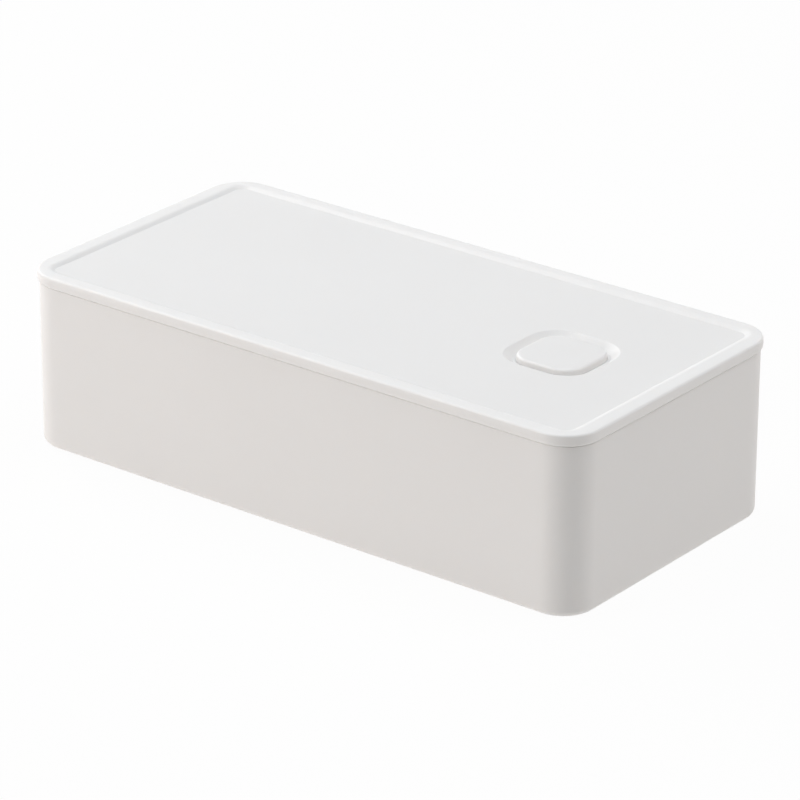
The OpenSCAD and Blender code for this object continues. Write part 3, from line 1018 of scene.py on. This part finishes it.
# %% [markdown]
# ## The screws
#
# Four small pan-head screws hold the cup. One is made as a stack of circles with a ridge for each
# turn of its thread, gets a cross recess from four square cutters, and is then copied to the
# corners of the flange.

# %% Housing screws
SCREW_LOW, SCREW_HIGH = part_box("housing_screws")
SCREW_HEAD = 2.0 * MM
HEAD_DOME = 0.7 * MM
HEAD_ROUNDING = 0.5 * MM
HEAD_EDGE = 0.1 * MM
THREAD_PITCH = 0.8 * MM
THREAD_DEPTH = 0.16 * MM
RIDGE_END, ROOT_START, ROOT_END = (part * THREAD_PITCH for part in (0.25, 0.55, 0.75))
SCREW_STEPS = 6
CROSS_ARMS = 4
CROSS_ARM = 0.7 * MM
CROSS_WIDTH = 0.5 * MM
CROSS_DEPTH = 0.8 * MM


def screw_rings():
    under = SCREW_HEAD - SCREW_RADIUS
    corners = [
        (SCREW_HEAD * 0.7, SCREW_LOW.z, 0),
        (SCREW_HEAD * 0.3, SCREW_LOW.z, HEAD_ROUNDING),
        (0, SCREW_LOW.z + HEAD_DOME, HEAD_ROUNDING),
        (0, FLANGE_BOTTOM, HEAD_EDGE),
        (under, FLANGE_BOTTOM, 0),
    ]
    threads = int((SCREW_HIGH.z - FLANGE_BOTTOM - SCREW_RADIUS / 2) / THREAD_PITCH)
    for thread in range(threads):
        start = FLANGE_BOTTOM + THREAD_PITCH * thread
        corners.append((under, start + RIDGE_END, 0))
        corners.append((under + THREAD_DEPTH, start + ROOT_START, 0))
        corners.append((under + THREAD_DEPTH, start + ROOT_END, 0))
    corners.append((under, FLANGE_BOTTOM + THREAD_PITCH * threads, 0))
    corners.append((under + SCREW_RADIUS / 2, SCREW_HIGH.z, 0))
    return ([centre_ring(0.0, SCREW_LOW.z)]
            + rings_round(circle(SCREW_HEAD), rounded_section(corners))
            + [centre_ring(0.0, SCREW_HIGH.z)])


def screws_mesh():
    screw = lofted("housing_screw_set", screw_rings(), STEEL, SCREW_STEPS)
    screw = grown("housing_screw_set", screw, CUTTING, {
        "Count": CROSS_ARMS, "Circle": CROSS_ARM / 2, "Turn": 0.0,
        "Middle": (0.0, 0.0, SCREW_LOW.z), "Cut Size": (CROSS_ARM, CROSS_WIDTH, 2 * CROSS_DEPTH),
        "Round": False, "Finish": STEEL})
    return grown("housing_screw_set", screw, COPYING, {
        "Count": SCREW_COUNT, "Circle": SCREW_CIRCLE, "Turn": EIGHTH_TURN,
        "Middle": (VENT_X, 0.0, 0.0), "Finish": STEEL})


piece("housing_screw_set", screws_mesh(), "lid", "housing_screws")

# %% [markdown]
# ## The stem and what it carries
#
# A steel pin is pressed into the button. At its lower end it carries a soft disc, a stiff washer
# and an open clip in a groove. When the button is pressed the disc leaves its seat and air flows.
# All four are stacks of circles, and the clip's mouth is one square cut.

# %% Stem
STEM_LOW, STEM_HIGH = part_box("vent_stem")
CLIP_LOW, CLIP_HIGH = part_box("stem_clip")
STEM_TIP = 0.8 * MM
TIP_EDGE = 0.1 * MM
STEM_EDGE = 0.15 * MM
GROOVE_DEPTH = 0.6 * MM
GROOVE_EDGE, GROOVE_FILLET = 0.06 * MM, 0.05 * MM


def stem_rings():
    pin = rounded_section([
        (STEM_RADIUS / 2, STEM_LOW.z, 0),
        (STEM_TIP / 2, STEM_LOW.z, TIP_EDGE),
        (0, STEM_LOW.z + STEM_TIP / 2, TIP_EDGE),
        (0, STEM_LOW.z + STEM_TIP, GROOVE_EDGE),
        (GROOVE_DEPTH, STEM_LOW.z + STEM_TIP, GROOVE_FILLET),
        (GROOVE_DEPTH, CLIP_HIGH.z, GROOVE_FILLET),
        (0, CLIP_HIGH.z, GROOVE_EDGE),
        (0, STEM_HIGH.z, STEM_EDGE),
        (STEM_RADIUS / 2, STEM_HIGH.z, 0),
    ], steps=3)
    return ([centre_ring(VENT_X, STEM_LOW.z)] + rings_round(circle(STEM_RADIUS, VENT_X), pin)
            + [centre_ring(VENT_X, STEM_HIGH.z)])


piece("vent_stem_pin", lofted("vent_stem_pin", stem_rings(), STEEL), "vent", "vent_stem")

# %% Disc, washer and clip
POPPET_EDGE = 0.4 * MM
WASHER_PLAY, WASHER_EDGE = 0.05 * MM, 0.15 * MM
BORE_EDGE = 0.05 * MM
CLIP_MOUTH = 2.47 * MM
CLIP_PLAY, CLIP_EDGE = 0.04 * MM, 0.08 * MM
CLIP_CUT = BOSS_RADIUS + 1.0 * MM


def disc_mesh(name, node, bore, edge, finish):
    """Flat disc with a hole and rounded edges, in the place of a CAD node."""
    low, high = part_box(node)
    radius = (high.y - low.y) / 2
    section = rounded_section([
        (radius / 2, low.z, 0),
        (0, low.z, edge),
        (0, high.z, edge),
        (radius - bore, high.z, BORE_EDGE),
        (radius - bore, low.z, BORE_EDGE),
        (radius / 2, low.z, 0),
    ], steps=4)
    return lofted(name, rings_round(circle(radius, VENT_X), section), finish)


def clip_mesh():
    """Ring in the stem's groove, with a mouth cut towards the nearer end of the box."""
    bore = STEM_RADIUS - GROOVE_DEPTH + CLIP_PLAY
    ring = disc_mesh("stem_clip_ring", "stem_clip", bore, CLIP_EDGE, STEEL)
    return grown("stem_clip_ring", ring, CUTTING, {
        "Count": 1, "Circle": CLIP_CUT / 2, "Turn": 0.0, "Middle": (VENT_X, 0.0, CLIP_LOW.z),
        "Cut Size": (CLIP_CUT, CLIP_MOUTH, HOLE_DEPTH), "Round": False, "Finish": STEEL})


poppet_mesh = disc_mesh("poppet_seal_disc", "poppet_seal", STEM_RADIUS, POPPET_EDGE, SILICONE)
washer_mesh = disc_mesh("poppet_washer_disc", "poppet_washer", STEM_RADIUS + WASHER_PLAY,
                        WASHER_EDGE, STEEL)
piece("poppet_seal_disc", poppet_mesh, "vent", "poppet_seal")
piece("poppet_washer_disc", washer_mesh, "vent", "poppet_washer")
piece("stem_clip_ring", clip_mesh(), "vent", "stem_clip")

# %% [markdown]
# ## The spring
# A coil spring lifts the button. A wound spring follows a path, so a Geometry Nodes tree bends a
# spiral: the first and last turns lie flat, as on a real spring with closed ends, and the turns
# between them rise evenly. A small circle is then run along it. The spring is shorter when the
# button is pressed.


# %% The spring tree
COIL_STEPS = 40
WIRE_SIDES = 12


def spring_tree():
    """Winds a wire into a coil with a flat turn at either end."""
    tree, start, (seed, turns, radius, wire, foot, rise, finish) = new_tree("wound_spring", (
        ("Seed", "Geometry"), ("Turns", "Float"), ("Radius", "Float"), ("Wire Radius", "Float"),
        ("Foot", "Vector"), ("Rise", "Float"), ("Finish", "Material")), "Spring")
    path = start.node("GeometryNodeCurveSpiral", sockets={
        "Resolution": COIL_STEPS, "Rotations": turns, "Start Radius": radius,
        "End Radius": radius, "Height": 0.0})
    turn = turns * start.node("GeometryNodeSplineParameter", output="Factor")
    flat = turn.math("MINIMUM", turn, 1.0) + turn.math("MAXIMUM", turn - (turns - 1.0), 0.0)
    rising = turn.math("MINIMUM", turn.math("MAXIMUM", turn - 1.0, 0.0), turns - 2.0)
    thickness = wire * 2
    height = flat * thickness + rising * (rise - thickness * 2) / (turns - 2.0)
    path = start.node("GeometryNodeSetPosition", sockets={
        "Geometry": path, "Offset": start.node("ShaderNodeCombineXYZ", sockets={"Z": height})})
    path = start.node("GeometryNodeSetPosition", sockets={"Geometry": path, "Offset": foot})
    section = start.node("GeometryNodeCurvePrimitiveCircle", sockets={
        "Resolution": WIRE_SIDES, "Radius": wire})
    end_tree(start.node("GeometryNodeCurveToMesh", sockets={
        "Curve": path, "Profile Curve": section, "Fill Caps": True}), finish)
    return tree


# %% Vent spring
SPRING_LOW, SPRING_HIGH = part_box("vent_spring")
SPRING_WIRE = 0.4 * MM
SPRING_TURNS = 6.0
PRESS_TRAVEL = next(
    joint["range_m"][1] for joint in frame["joints"] if joint["name"] == "vent_press")
SPRING_HEIGHT = SPRING_HIGH.z - SPRING_LOW.z
spring_mesh = grown("vent_spring_coil", bpy.data.meshes.new("spring_seed"), spring_tree(), {
    "Turns": SPRING_TURNS, "Radius": SPRING_HIGH.y - SPRING_WIRE, "Wire Radius": SPRING_WIRE,
    "Foot": (VENT_X, 0.0, SPRING_LOW.z + SPRING_WIRE), "Rise": SPRING_HEIGHT - 2 * SPRING_WIRE,
    "Finish": STEEL})
spring = piece("vent_spring_coil", spring_mesh, "lid", "vent_spring")
(SPRING_HEIGHT - PRESS_TRAVEL) / SPRING_HEIGHT
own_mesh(spring)

# %% [markdown]
# ## Stage and light
#
# The box stands on a white floor that runs out of sight. The camera sees it as plain white with a
# trace of the box's shadow. To every other ray it glows softly, as a bright studio sweep does, and
# so it lightens the lower walls. Seven large, soft lamps do the rest: low ones at the front left
# and back right shape the walls, and higher, cooler ones light the lid. The corner that faces the
# camera gets least. Each lamp's power was found by rendering the box under that lamp alone, and
# adding the results up to the tones of the photograph: light simply adds, so this needs no
# guessing.

# %% Floor and world
FLOOR_HALF = 12.0
FLOOR_HEIGHT = -0.02 * MM
FLOOR_COLOUR = (0.82, 0.795, 0.77, 1)
FLOOR_SHADOW = 0.05
FLOOR_GLOW = 0.62
WORLD_GLOW = 0.05


def seen_directly(start):
    """1 for rays from the camera, in mirrors and through glass, otherwise 0."""
    rays = [start.node("ShaderNodeLightPath", output=name)
            for name in ("Is Camera Ray", "Is Glossy Ray", "Is Transmission Ray")]
    return start.math("MAXIMUM", start.math("MAXIMUM", rays[0], rays[1]), rays[2])


def floor_finish():
    material, shader, start = new_finish("studio_floor")
    set_plain(shader, {
        "Base Color": FLOOR_COLOUR, "Roughness": 0.9, "Specular IOR Level": 0.0})
    white = start.node("ShaderNodeEmission", sockets={"Strength": 1.0}, output="Emission")
    lit = Wire(start.tree, shader.outputs["BSDF"])
    seen = seen_directly(start)
    mixed = start.node("ShaderNodeMixShader", sockets={
        0: seen * (1 - FLOOR_SHADOW) + (1 - seen) * FLOOR_GLOW, 1: lit, 2: white})
    ending = start.tree.nodes["Material Output"]
    start.tree.links.new(mixed.socket, ending.inputs["Surface"])
    return material


def make_floor():
    mesh = bpy.data.meshes.new("floor")
    corners = [(-1, -1), (1, -1), (1, 1), (-1, 1)]
    mesh.from_pydata([(x * FLOOR_HALF, y * FLOOR_HALF, FLOOR_HEIGHT) for x, y in corners],
                     [], [(0, 1, 2, 3)])
    mesh.materials.append(floor_finish())
    floor = bpy.data.objects.new("floor", mesh)
    scene.collection.objects.link(floor)


def make_world():
    """White where it is seen, and a faint glow on everything else."""
    world = bpy.data.worlds.new("studio")
    scene.world = world
    world.use_nodes = True
    start = Wire(world.node_tree)
    background = world.node_tree.nodes["Background"]
    set_plain(background, {"Color": (1, 1, 1, 1)})
    seen = seen_directly(start)
    feed(seen + (1 - seen) * WORLD_GLOW, background, "Strength")


make_floor()
make_world()
print(f"floor {2 * FLOOR_HALF:.0f} m wide, glow {FLOOR_GLOW}, world glow {WORLD_GLOW}")


# %% Lamps
LAMP_DISTANCE = 1.8


def softbox(name, azimuth, elevation, size, power, colour):
    """Square area lamp that faces the box, at an azimuth and elevation in degrees."""
    data = bpy.data.lights.new(name, "AREA")
    data.shape = "SQUARE"
    data.size = size
    data.energy = power
    data.color = colour
    lamp = bpy.data.objects.new(name, data)
    away = direction(math.radians(azimuth), math.radians(elevation))
    lamp.location = BOX_MIDDLE + away * LAMP_DISTANCE
    lamp.rotation_mode = "QUATERNION"
    lamp.rotation_quaternion = away.to_track_quat("Z", "Y")
    lamp.visible_camera = False
    scene.collection.objects.link(lamp)


WARM = (1.0, 0.946, 0.915)
PLAIN = (1, 1, 1)
COOL = (0.851, 0.93, 1.0)
LAMPS = (  # name, azimuth and elevation in degrees, size in metres, power in watts, colour
    ("key", -40, 15, 1.0, 14.5, WARM),
    ("key_high", -40, 55, 1.4, 4.3, COOL),
    ("left", -100, 36, 1.0, 12.1, PLAIN),
    ("top", 0, 89, 1.8, 12.7, COOL),
    ("right", 100, 50, 1.4, 2.1, WARM),
    ("right_high", 110, 68, 1.2, 5.9, COOL),
    ("back_right", 128, 38, 1.2, 7.6, WARM),
)
for lamp in LAMPS:
    softbox(*lamp)
print("lamps:", [name for name, *_ in LAMPS])
